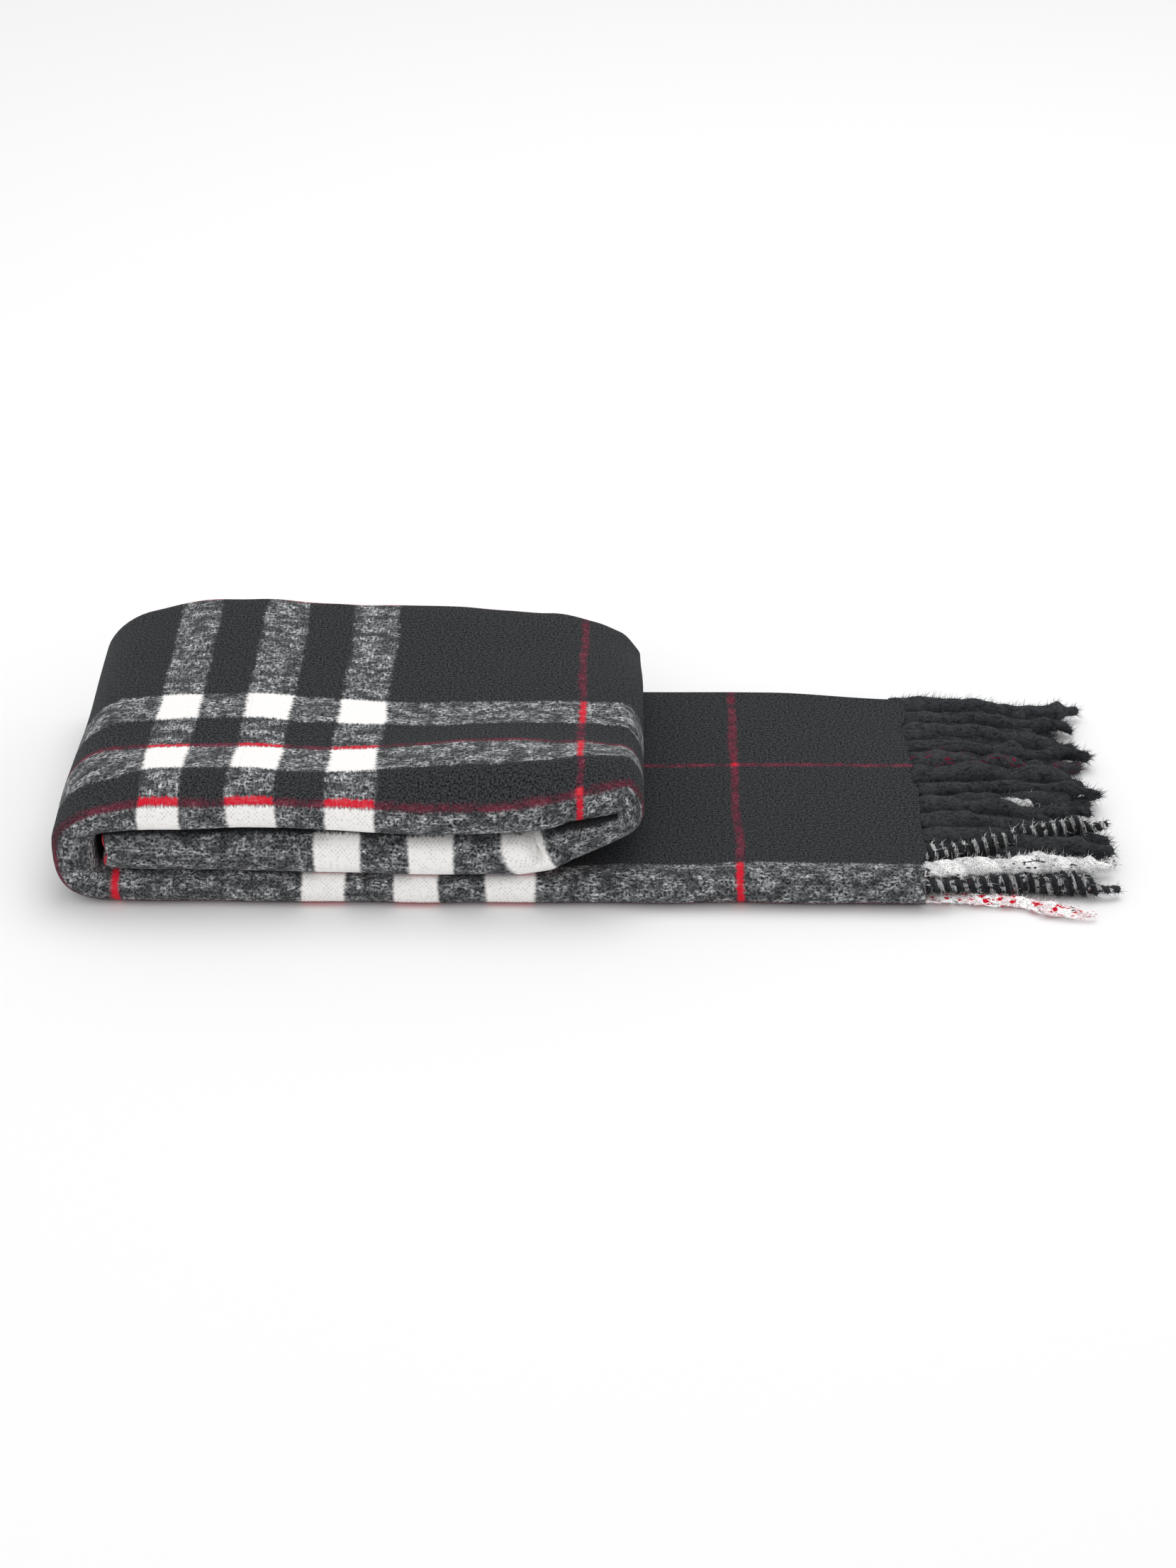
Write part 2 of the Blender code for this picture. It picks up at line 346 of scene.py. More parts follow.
def cloth_run(name, stations, material):
    """A grid of cloth. A station is a distance along the strip and a turn, 0 for the half
    of the cloth outside, pi for the half inside, and between them round the length fold."""
    rows, columns = len(stations), len(OUTER[0])
    bpy.ops.mesh.primitive_grid_add(x_subdivisions=rows - 1, y_subdivisions=columns - 1, size=2)
    piece = bpy.context.object
    piece.name = name
    mesh = piece.data
    flat = np.empty(len(mesh.vertices) * 3)
    mesh.vertices.foreach_get("co", flat)
    flat = flat.reshape(-1, 3)
    row = np.rint((flat[:, 0] + 1) / 2 * (rows - 1)).astype(int)
    column = np.rint((flat[:, 1] + 1) / 2 * (columns - 1)).astype(int)
    distance, turn = np.array(stations).T
    s, turn = distance[row], turn[row]
    side = np.cos(turn)
    outer = [values[column] for values in OUTER]
    inner = [values[column] for values in INNER]
    square = np.sign(side) * np.abs(side) ** 0.7
    y, w, v = [(a + b) / 2 + (a - b) / 2 * turned
               for a, b, turned in zip(outer, inner, (side, square, side))]
    x, z = strip_place(s, y, w)
    x = x - np.abs(outer[1] - inner[1]) / 2 * np.sin(turn) ** 0.7
    # The inner end is pushed up against the left bend, whose back end is drawn in a little,
    # as is the right bend's. The tail's back corner sinks
    x = x - FOLD_PUSH * (s > RIGHT_BEND_END) * (1 - eased(x, LENGTH_FOLD_X, LENGTH_FOLD_X + 0.04))
    x = x + 0.0030 * eased(y, -0.050, 0.030) * (1 - eased(x, -0.236, -0.200))
    beyond = np.maximum(x - RIGHT_BEND_X, 0) * (s > LEFT_BEND_END)
    x = x - 0.12 * beyond * eased(y, 0.052, 0.088)
    sunk = (s < BOTTOM_END) * eased(x, CLOTH_END - 0.065, CLOTH_END) * eased(y, 0.0, 0.085)
    y, z = settled(x, y, z, s > LEFT_BEND_END)
    y = y - 0.0022 * sunk
    z = z * (1 - 0.15 * sunk)
    ragged = rough(zip(y, w), 260, 1.4) + 1.6 * rough(zip(y, w), 62, 6.3)
    waved = rough(zip(y, np.zeros_like(y)), 34, 9.9)
    x = x + (RAGGED * ragged + WAVED * waved) * (1 - eased(s, 0, 0.014))
    mesh.vertices.foreach_set("co", np.stack((x, y, z), 1).ravel())
    u = np.interp(s, STRIP_MARKS, CLOTH_MARKS)
    askew = eased(s, BOTTOM_END, LEFT_BEND_END) * (1 - eased(s, LEFT_BEND_END + 0.08, TOP_END))
    u = u + ASKEW * askew * (1 - eased(y, -0.06, 0.06))
    twisted = (s > RIGHT_BEND_END) * eased(x, -0.048, -0.026) * np.clip((0.034 - z) / 0.017, 0, 1)
    u = u + TWISTED * twisted
    u = np.where(turn > 0, u + (CLOTH_LENGTH - 2 * u) * turn / math.pi, u)
    slipped = eased(s, TOP_END - 0.010, RIGHT_BEND_END + 0.015)
    v = v + slipped * (0.12 * np.clip(v - FRONT_FOLD, -0.03, 0.03) - FRONT_SLIP)
    on_top = eased(s, BOTTOM_END + 0.03, LEFT_BEND_END) * (1 - eased(s, TOP_END, TOP_END + 0.012))
    drawn = SWELL_SHIFT - SWELL_SHIFT_LESS * np.exp(-(((x + 0.085) / 0.045) ** 2))
    v = v - drawn * on_top * eased(v, 0.206, 0.236) * (1 - eased(v, 0.250, 0.335))
    corners = np.empty(len(mesh.loops), dtype=int)
    mesh.loops.foreach_get("vertex_index", corners)
    mesh.uv_layers[0].name = "on_the_cloth"
    mesh.uv_layers[0].uv.foreach_set("vector", np.stack((u[corners], v[corners]), 1).ravel())
    mesh.materials.append(material)
    solid = piece.modifiers.new("cloth_thickness", "SOLIDIFY")
    solid.thickness = PLY_SOLID
    solid.offset = 0
    bpy.ops.object.modifier_apply(modifier=solid.name)
    bpy.ops.object.shade_smooth_by_angle(angle=math.radians(55))
    bpy.ops.object.select_all(action="DESELECT")
    return piece


def spaced(start, end, step):
    return list(np.linspace(start, end, max(2, round(abs(end - start) / step) + 1)))


def joined(name, parts):
    for part in parts:
        part.select_set(True)
    bpy.context.view_layer.objects.active = parts[0]
    bpy.ops.object.join()
    piece = bpy.context.object
    piece.name = name
    piece.data.name = name
    bpy.ops.object.select_all(action="DESELECT")
    return piece


def math_node(tree, operation, *values, clamp=False):
    """A Math node on sockets and numbers. Returns its result."""
    made = tree.nodes.new("ShaderNodeMath")
    made.operation = operation
    made.use_clamp = clamp
    for socket, value in zip(made.inputs, values):
        if isinstance(value, (int, float)):
            socket.default_value = value
        else:
            tree.links.new(value, socket)
    return made.outputs[0]


def step_node(tree, value, low, high):
    """A smooth step from 0 at low to 1 at high, either way round."""
    made = tree.nodes.new("ShaderNodeMapRange")
    made.interpolation_type = "SMOOTHSTEP"
    made.inputs["From Min"].default_value = min(low, high)
    made.inputs["From Max"].default_value = max(low, high)
    made.inputs["To Min"].default_value = 0.0 if low < high else 1.0
    made.inputs["To Max"].default_value = 1.0 if low < high else 0.0
    tree.links.new(value, made.inputs["Value"])
    return made.outputs["Result"]


def noise_node(tree, place, scale, stretch=(1, 1, 1), detail=2.0, output="Fac"):
    """Noise at so many blotches to the metre, stretched along an axis."""
    mapping = tree.nodes.new("ShaderNodeMapping")
    mapping.inputs["Scale"].default_value = stretch
    tree.links.new(place, mapping.inputs["Vector"])
    made = tree.nodes.new("ShaderNodeTexNoise")
    made.inputs["Scale"].default_value = scale
    made.inputs["Detail"].default_value = detail
    tree.links.new(mapping.outputs["Vector"], made.inputs["Vector"])
    return made.outputs[output]


def mix_node(tree, share, first, second):
    """Mixes two colours."""
    made = tree.nodes.new("ShaderNodeMix")
    made.data_type = "RGBA"
    for socket, value in ((made.inputs[0], share), (made.inputs[6], first), (made.inputs[7], second)):
        if isinstance(value, tuple):
            socket.default_value = (*value, 1)
        elif isinstance(value, (int, float)):
            socket.default_value = value
        else:
            tree.links.new(value, socket)
    return made.outputs[2]


CHARCOAL_DARK = (0.0025, 0.0029, 0.0036)
CHARCOAL_LIGHT = (0.0610, 0.0645, 0.0690)
FIBRE_LIGHT = (0.80, 0.81, 0.825)
CREAM = (0.93, 0.915, 0.90)
# The cream in painted shade, mixed in between the threads on the front edge so that the front's cream is
# darker than the top's
CREAM_IN_PAINTED_SHADE = (0.66, 0.635, 0.60)
RED_BRIGHT = (0.63, 0.010, 0.030)
RED_DIM = (0.165, 0.006, 0.031)
REPEAT_HALF = 0.14
SIDE_BAR = 0.098  # from the red line to the middle of the bar on each side of it
BAR_HALF = 0.01025
FIRST_LINE = 0.078  # from the cloth's cut end
WEFT_LINE_HALF = 0.0017
WARP_LINE_HALF = 0.0015
THIN_STRIPE = (0.1272, 0.1299)
WIDE_STRIPE = (0.1670, 0.1716)
WEAVE_PITCH = 0.0019
FUZZ = 0.0010  # how far a colour's edge is blurred by the nap


def napped_shader(tree, colour, height, sheen):
    """Brushed wool: rough, with a soft bloom of loose fibres."""
    shader = tree.nodes["Principled BSDF"]
    tree.links.new(colour, shader.inputs["Base Color"])
    shader.inputs["Roughness"].default_value = 0.95
    shader.inputs["Specular IOR Level"].default_value = 0.08
    shader.inputs["Sheen Weight"].default_value = sheen
    shader.inputs["Sheen Roughness"].default_value = 0.55
    shader.inputs["Sheen Tint"].default_value = (0.75, 0.77, 0.8, 1)
    bump = tree.nodes.new("ShaderNodeBump")
    bump.inputs["Strength"].default_value = 0.55
    bump.inputs["Distance"].default_value = 0.0006
    tree.links.new(height, bump.inputs["Height"])
    tree.links.new(bump.outputs["Normal"], shader.inputs["Normal"])


def plaid_cloth():
    """The plaid, drawn on the flat cloth: u along the warp and v across it, in metres."""
    material = bpy.data.materials.new("brushed_plaid")
    material.use_nodes = True
    tree = material.node_tree
    uv = tree.nodes.new("ShaderNodeUVMap")
    uv.uv_map = "on_the_cloth"
    place = uv.outputs["UV"]
    apart = tree.nodes.new("ShaderNodeSeparateXYZ")
    tree.links.new(place, apart.inputs[0])

    def level(source, low, high):
        return step_node(tree, source, low, high)

    def times(first, second):
        return math_node(tree, "MULTIPLY", first, second)

    def larger(first, second):
        return math_node(tree, "MAXIMUM", first, second)

    def scaled(source, factor, offset):
        return math_node(tree, "MULTIPLY_ADD", source, factor, offset)

    def distance(source, centre):
        return math_node(tree, "ABSOLUTE", math_node(tree, "SUBTRACT", source, centre))

    # The nap draws each thread's colour out along the thread, so edges are feathered, but
    # less so round the front edge
    fray_u = math_node(tree, "SUBTRACT", noise_node(tree, place, 640, (0.5, 1.6, 1), 3), 0.5)
    fray_v = math_node(tree, "SUBTRACT", noise_node(tree, place, 650, (1.6, 0.5, 1), 3), 0.5)
    sway = math_node(tree, "SUBTRACT", noise_node(tree, place, 34, detail=1), 0.5)
    kept_in = level(distance(apart.outputs[1], CLOTH_WIDTH / 2), 0.1560, 0.1640)
    fray_u = times(fray_u, scaled(kept_in, -0.6, 1.0))
    u = scaled(fray_u, 0.0056, apart.outputs[0])
    u = scaled(sway, 0.0045, u)
    v = scaled(fray_v, 0.0045, apart.outputs[1])
    v = scaled(sway, 0.0022, v)

    def bars_and_line(along, line_half):
        """The pattern is the same both ways from its red line."""
        from_line = math_node(tree, "PINGPONG", along, REPEAT_HALF)
        side_bar = distance(from_line, SIDE_BAR)
        mid_bar = math_node(tree, "SUBTRACT", REPEAT_HALF, from_line)
        nearest = math_node(tree, "MINIMUM", side_bar, mid_bar)
        return (level(nearest, BAR_HALF + FUZZ, BAR_HALF - FUZZ),
                level(from_line, line_half + FUZZ, line_half - FUZZ))

    weft_bar, weft_line = bars_and_line(math_node(tree, "SUBTRACT", u, FIRST_LINE), WEFT_LINE_HALF)
    warp_bar, warp_line = bars_and_line(math_node(tree, "SUBTRACT", v, CLOTH_WIDTH / 2), WARP_LINE_HALF)
    from_middle = distance(v, CLOTH_WIDTH / 2)

    def stripe(low, high):
        past_low = level(from_middle, low - FUZZ, low + FUZZ)
        short_of_high = level(from_middle, high + FUZZ, high - FUZZ)
        return times(past_low, short_of_high)

    warp_red = larger(warp_line, larger(stripe(*THIN_STRIPE), stripe(*WIDE_STRIPE)))

    # Brushed wool of two colours: grains of about a millimetre, wisps along both threads
    # but mostly along the bar's own, and slow patches where more or less has been raised
    grain = noise_node(tree, place, 760, (0.85, 1.15, 1), 4)
    wisp_u = noise_node(tree, place, 620, (0.58, 1.55, 1), 2)
    wisp_v = noise_node(tree, place, 610, (1.65, 0.50, 1), 2)
    patch = noise_node(tree, place, 165, (0.75, 1.2, 1), 3)
    only_warp = math_node(tree, "SUBTRACT", warp_bar, weft_bar, clamp=True)
    along_u = times(level(wisp_u, 0.48, 0.62), scaled(only_warp, 0.20, 0.36))
    along_v = times(level(wisp_v, 0.48, 0.62), scaled(only_warp, -0.18, 0.52))
    fibre = scaled(level(grain, 0.45, 0.63), 0.42, 0.02)
    fibre = math_node(tree, "ADD", fibre, larger(along_u, along_v))
    fibre = times(fibre, scaled(level(patch, 0.36, 0.66), 0.95, 0.28))
    # Less is raised on the bar that runs round the front edge, where the weave shows
    on_front = level(from_middle, 0.1700, 0.1745)
    picks = math_node(tree, "SINE", times(apart.outputs[0], math.tau / WEAVE_PITCH))
    ends = math_node(tree, "SINE", times(apart.outputs[1], math.tau / WEAVE_PITCH))
    weave = times(times(picks, ends), level(noise_node(tree, place, 240, detail=2), 0.38, 0.60))
    shown = scaled(on_front, 0.75, 0.25)
    fibre = times(fibre, scaled(on_front, -0.12, 1.0))
    fibre = scaled(times(weave, shown), 0.10, fibre)
    speck = math_node(tree, "MULTIPLY", math_node(tree, "POWER", fibre, 1.25), 0.72, clamp=True)

    fine = noise_node(tree, place, 1050, detail=5)
    charcoal = mix_node(tree, level(fine, 0.30, 0.72), CHARCOAL_DARK, CHARCOAL_LIGHT)
    heather = mix_node(tree, speck, charcoal, FIBRE_LIGHT)
    # On the front the cream is painted darker between the threads than on the top: the weave's own texture
    # together with painted shade. The top stays plain bright cream.
    cream_weave_and_painted_shade = scaled(times(weave, shown), 0.34, grain)
    thread = larger(level(cream_weave_and_painted_shade, 0.16, 0.52), scaled(on_front, -0.9, 0.9))
    cream = mix_node(tree, thread, CREAM_IN_PAINTED_SHADE, CREAM)
    any_bar = larger(warp_bar, weft_bar)
    ground = mix_node(tree, any_bar, charcoal, heather)
    ground = mix_node(tree, times(warp_bar, weft_bar), ground, cream)

    on_light = times(warp_red, larger(weft_bar, weft_line))
    on_light = larger(on_light, times(weft_line, warp_bar))
    any_red = larger(warp_red, weft_line)
    faded = scaled(level(patch, 0.34, 0.62), 0.50, 0.22)
    faded = math_node(tree, "ADD", faded, scaled(level(grain, 0.35, 0.65), 0.4, -0.2))
    # The wide stripe fades away on its dark side
    past_edge = distance(from_middle, 0.150)
    kept = larger(level(past_edge, 0.0160, 0.0208), weft_line)
    faded = times(faded, larger(kept, warp_line))
    worn = larger(faded, times(on_light, 0.97))
    red = mix_node(tree, on_light, RED_DIM, RED_BRIGHT)
    red = mix_node(tree, times(speck, 0.10), red, CREAM)
    colour = mix_node(tree, times(any_red, worn), ground, red)

    height = scaled(fine, 0.5, times(grain, 0.8))
    height = scaled(times(weave, shown), 0.10, height)
    napped_shader(tree, colour, height, 0.035)
    return material


# The nap: loose fibres that the brushing has raised, in the colour of the thread below them
NAP_LENGTH = 0.0017
NAP_ROOT = 0.00005
NAP_FOOT = 0.0002  # how deep in the cloth a fibre starts
SLIT_HEIGHT = 0.0350  # of the front's slit under the top length, where the nap is pressed flat
SLIT_REACH = 0.0042
NAP_DENSITY = {"tail_and_bottom_length": 3200, "left_bend_length": 3400, "packet_length": 4200}


def fibres(name, roots, normals, uvs, lengths, lean, draw, foot_size=NAP_ROOT):
    """Thin closed spikes of four faces each, leaning over at random."""
    points, faces, places = [], [], []
    for root, normal, uv, length in zip(roots, normals, uvs, lengths):
        aside = normal.orthogonal().normalized()
        other = normal.cross(aside)
        turn = draw.uniform(0, math.tau)
        away = aside * math.cos(turn) + other * math.sin(turn)
        tip = root + (normal * (1 - lean) + away * lean).normalized() * length
        start = len(points)
        for corner in range(3):
            angle = math.tau * corner / 3
            foot = root - normal * NAP_FOOT + (aside * math.cos(angle) + other * math.sin(angle)) * foot_size
            points.append(Vector((foot.x, foot.y, max(foot.z, 0.0001))))
        points.append(Vector((tip.x, tip.y, max(tip.z, 0.0003))))
        faces += [(start + 2, start + 1, start), (start, start + 1, start + 3),
                  (start + 1, start + 2, start + 3), (start + 2, start, start + 3)]
        places += [uv] * 12
    mesh = bpy.data.meshes.new(name)
    mesh.from_pydata(points, [], faces)
    mesh.uv_layers.new(name="on_the_cloth")
    mesh.uv_layers[0].uv.foreach_set("vector", np.array(places, dtype=float).ravel())
    made = bpy.data.objects.new(name, mesh)
    bpy.context.collection.objects.link(made)
    return made


def outside(point):
    """Whether a point of the cloth lies on the outside of the throw, where nap is seen."""
    x, y, z = point
    roll_right = RIGHT_BEND_X + 0.009
    in_slit = abs(z - SLIT_HEIGHT) < SLIT_REACH and -0.232 < x < 0.0 and y < 0
    if in_slit:
        return False
    if abs(y) > 0.081:
        return True
    if x > roll_right:
        return z > STRIP_THICK * 0.93
    return z > 2.95 * STRIP_THICK or x < ROLL_LEFT + 0.004 or x > RIGHT_BEND_X + 0.007


def give_nap(piece):
    """Raises the nap on a length of cloth."""
    draw = random.Random(piece.name)
    mesh = piece.data
    layer = mesh.uv_layers[0].uv
    found = [face for face in mesh.polygons if outside(face.center)]
    chosen = draw.choices(found, [face.area for face in found], k=NAP_DENSITY[piece.name])
    roots, normals, uvs = [], [], []
    for face in chosen:
        corners = list(face.loop_indices)
        weights = [draw.random() + 0.05 for _ in corners]
        total = sum(weights)
        root, uv = Vector(), Vector((0, 0))
        for corner, weight in zip(corners, weights):
            root += mesh.vertices[mesh.loops[corner].vertex_index].co * (weight / total)
            uv += layer[corner].vector * (weight / total)
        roots.append(root)
        normals.append(face.normal.copy())
        uvs.append(tuple(uv))
    lengths = [NAP_LENGTH * draw.uniform(0.4, 1.2) for _ in roots]
    nap = fibres(piece.name + "_nap", roots, normals, uvs, lengths, 0.62, draw)
    nap.data.materials.append(mesh.materials[0])
    return joined(piece.name, [piece, nap])


plaid = plaid_cloth()
OUTER_STEP = 0.0042
INNER_STEP = 0.012
# The seams between the lengths are where a plaid bar begins, on the bottom and on the top
BOTTOM_SEAM = CLOTH_END + 0.1300
TOP_SEAM = LEFT_BEND_END - 0.1570 - LEFT_BEND_X

bottom_length = give_nap(joined("tail_and_bottom_length", [
    cloth_run("bottom_outer", [(s, 0) for s in spaced(0, BOTTOM_SEAM, OUTER_STEP)], plaid),
    cloth_run("bottom_inner", [(s, math.pi) for s in spaced(0, BOTTOM_SEAM, INNER_STEP)], plaid),
]))
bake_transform(bottom_length)
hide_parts("tail_panel", "bottom_panel")


left_stations = spaced(BOTTOM_SEAM, BOTTOM_END, OUTER_STEP)
left_stations += spaced(BOTTOM_END, LEFT_BEND_END, 0.0026)[1:]
left_stations += spaced(LEFT_BEND_END, TOP_SEAM, OUTER_STEP)[1:]
left_inside = spaced(BOTTOM_SEAM, BOTTOM_END, INNER_STEP)
left_inside += spaced(BOTTOM_END, LEFT_BEND_END, 0.005)[1:]
left_inside += spaced(LEFT_BEND_END, TOP_SEAM, INNER_STEP)[1:]
left_length = give_nap(joined("left_bend_length", [
    cloth_run("left_outer", [(s, 0) for s in left_stations], plaid),
    cloth_run("left_inner", [(s, math.pi) for s in left_inside], plaid),
]))
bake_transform(left_length)
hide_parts("left_bend")


# ---------------------------------------------------------------------------------------
# The packet: the rest of the top, the tight right bend, the length inside the roll and the
# fold in the middle of the cloth's length, where the outer half turns into the inner one.
# ---------------------------------------------------------------------------------------
CREASED = 0.046  # how much of the top and of the inside length the lip's creases reach
packet_out = spaced(TOP_SEAM, TOP_END - CREASED, OUTER_STEP)
packet_out += spaced(TOP_END - CREASED, RIGHT_BEND_END + CREASED, 0.0015)[1:]
packet_out += spaced(RIGHT_BEND_END + CREASED, STRIP_END, OUTER_STEP)[1:]
packet_back = spaced(STRIP_END, RIGHT_BEND_END, INNER_STEP)
packet_back += spaced(RIGHT_BEND_END, TOP_END, 0.003)[1:]
packet_back += spaced(TOP_END, TOP_SEAM, INNER_STEP)[1:]
fold_turns = list(np.linspace(0, math.pi, 9))
packet = cloth_run(
    "packet_length",
    [(s, 0) for s in packet_out[:-1]] + [(STRIP_END, turn) for turn in fold_turns]
    + [(s, math.pi) for s in packet_back[1:]],
    plaid,
)
packet = give_nap(packet)
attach(packet, "packet")
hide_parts("top_panel", "right_bend", "middle_panel", "length_fold")


# ---------------------------------------------------------------------------------------
# The fringe: tassels of two strands of the warp twisted together and brushed, in four rows
# of lanes. They take the colours of the threads that run out into them.
# ---------------------------------------------------------------------------------------
LANES = 12
LANE_PITCH = 0.0146
LOWEST_ROW = 0.0030
ROW_RISE = 0.0036
LONGEST_LANE = 2
LOWER_SETBACK = 0.012
UNEVEN_CUT = 0.009
FRINGE_REACH = cad_size[1].x
TUCK = 0.006  # how far a tassel starts inside the cloth's end
TASSEL_RADIUS = 0.0053
TASSEL_SIDES = 16
TASSEL_RINGS = 118
ROOT_SPREAD = 0.034
TWISTS = {"heather_yarn": 0.0047, "mixed_yarn": 0.0056, "cream_yarn": 0.017, "edge_yarn": 0.017,
          "red_yarn": 0.050, "black_yarn": 0.050}
FLYAWAYS = 520
FLYAWAY_ROOT = 0.00015

bpy.ops.mesh.primitive_cylinder_add(vertices=TASSEL_SIDES, radius=1, depth=2, end_fill_type="NGON")
plain_tassel = bpy.context.object
bpy.ops.object.mode_set(mode="EDIT")
bpy.ops.mesh.select_mode(type="EDGE")
bpy.ops.mesh.select_all(action="DESELECT")
bpy.ops.object.mode_set(mode="OBJECT")
for edge in plain_tassel.data.edges:
    one, two = (plain_tassel.data.vertices[n].co for n in edge.vertices)
    edge.select = abs(one.z - two.z) > 1
bpy.ops.object.mode_set(mode="EDIT")
bpy.ops.mesh.subdivide(number_cuts=TASSEL_RINGS)
bpy.ops.object.mode_set(mode="OBJECT")
bpy.ops.object.select_all(action="DESELECT")


def yarn(name, first, second, specks, speck_share, red_share=0.0, second_share=0.0):
    """Two strands, one each side of the tube's seam, each with specks of another colour."""
    material = bpy.data.materials.new(name)
    material.use_nodes = True
    tree = material.node_tree
    uv = tree.nodes.new("ShaderNodeUVMap")
    uv.uv_map = "on_the_cloth"
    strand = tree.nodes.new("ShaderNodeSeparateXYZ")
    tree.links.new(uv.outputs["UV"], strand.inputs[0])
    place = tree.nodes.new("ShaderNodeTexCoord").outputs["Object"]
    fibre = noise_node(tree, place, 900, (0.5, 1.2, 1.2), 3)
    fine = noise_node(tree, place, 2600, detail=1)
    patch = noise_node(tree, place, 360, (0.55, 1.3, 1.3), 2)
    strayed = math_node(tree, "SUBTRACT", fibre, 0.5)
    ragged = math_node(tree, "MULTIPLY_ADD", strayed, 1.2, strand.outputs[0])
    side = step_node(tree, ragged, 0.34 - second_share, 0.60 - second_share)
    colour = mix_node(tree, side, first, second)
    spotted = math_node(tree, "MULTIPLY_ADD", fibre, 0.35, patch)
    dark = step_node(tree, spotted, 0.50 + speck_share, 0.44 + speck_share)
    colour = mix_node(tree, dark, colour, specks)
    # Fibres in the light and in the shade of others
    lit = math_node(tree, "ADD", fine, math_node(tree, "MULTIPLY", fibre, 0.6))
    shade = mix_node(tree, step_node(tree, lit, 0.45, 1.10), (0.30, 0.30, 0.31), (1.75, 1.76, 1.78))
    shaded = tree.nodes.new("ShaderNodeMix")
    shaded.data_type = "RGBA"
    shaded.blend_type = "MULTIPLY"
    shaded.inputs[0].default_value = 1.0
    tree.links.new(colour, shaded.inputs[6])
    tree.links.new(shade, shaded.inputs[7])
    colour = shaded.outputs[2]
    if red_share:
        blotch = noise_node(tree, place, 330, (0.7, 1.3, 1.3), 3)
        flecks = step_node(tree, blotch, 0.70 - red_share, 0.76 - red_share)
        colour = mix_node(tree, flecks, colour, RED_BRIGHT if first == CREAM else RED_DIM)
    height = math_node(tree, "ADD", math_node(tree, "MULTIPLY", fine, 0.5), fibre)
    napped_shader(tree, colour, height, 0.07)
    return material


YARN_BLACK = (0.034, 0.0358, 0.0388)
YARN_SHADE = (0.018, 0.019, 0.022)
LIGHT_STRAND = (0.66, 0.66, 0.65)
GREY_STRAND = (0.52, 0.52, 0.52)
CREAM_STRANDS = ((0.74, 0.735, 0.72), (0.58, 0.58, 0.57))
CREAM_SPECKS = (0.05, 0.053, 0.06)
PINK_STRAND = (0.80, 0.70, 0.70)
EDGE_SPECKS = (0.06, 0.063, 0.07)
yarns = {
    "black_yarn": yarn("black_yarn", YARN_BLACK, YARN_BLACK, YARN_SHADE, 0.10),
    "heather_yarn": yarn("black_and_cream_yarn", LIGHT_STRAND, YARN_BLACK, YARN_BLACK, 0.15,
                         second_share=0.20),
    "cream_yarn": yarn("cream_yarn", *CREAM_STRANDS, CREAM_SPECKS, 0.05),
    "mixed_yarn": yarn("cream_and_black_yarn", GREY_STRAND, YARN_BLACK, YARN_BLACK, 0.18,
                       red_share=0.02, second_share=0.24),
    "red_yarn": yarn("black_yarn_with_red", YARN_BLACK, YARN_BLACK, YARN_SHADE, 0.10, red_share=0.13),
    "edge_yarn": yarn("cream_yarn_with_red", CREAM, PINK_STRAND, EDGE_SPECKS, 0.02, red_share=0.15),
}
# The tassels of the front edge lie as they fell: how far the tip strays back, and how high
STRAYS = {
    "upper_tassel_05": (-0.0055, 0.0),
    "upper_tassel_17": (-0.0065, 0.0),
    "upper_tassel_06": (0.0060, 0.0),
    "upper_tassel_18": (0.0070, 0.0),
    "upper_tassel_14": (0.0225, 0.0035),
    "upper_tassel_02": (0.0090, 0.0010),
    "upper_tassel_13": (0.0110, 0.0010),
    "upper_tassel_01": (0.0050, -0.0020),
    "lower_tassel_13": (-0.0010, -0.0010),
    "lower_tassel_01": (-0.0125, 0.0),
}
THIN = {"lower_tassel_01": 0.50}
MIXED = ("upper_tassel_01", "lower_tassel_13")
FLAT_SIDES = {"heather_yarn": 0.70, "mixed_yarn": 0.72, "cream_yarn": 0.80}  # 1 is a round tube
# How far a tassel strays: anyhow, and in a slow, a quick and a small wave
DRIFT = 0.0045
SLOW_WAVE = 0.0034
QUICK_WAVE = 0.0017
SMALL_WAVE = 0.0008
UP_AND_DOWN = 0.0012
FRONT_LANES = 3  # these lie straighter than the others and are cut more evenly


def yarn_of(row, lane):
    upper = row > 1
    if lane == 0 or (not upper and lane in (3, 5)):
        return "cream_yarn"
    if upper and lane == 7:
        return "red_yarn"
    return "heather_yarn" if lane == 1 else "black_yarn"


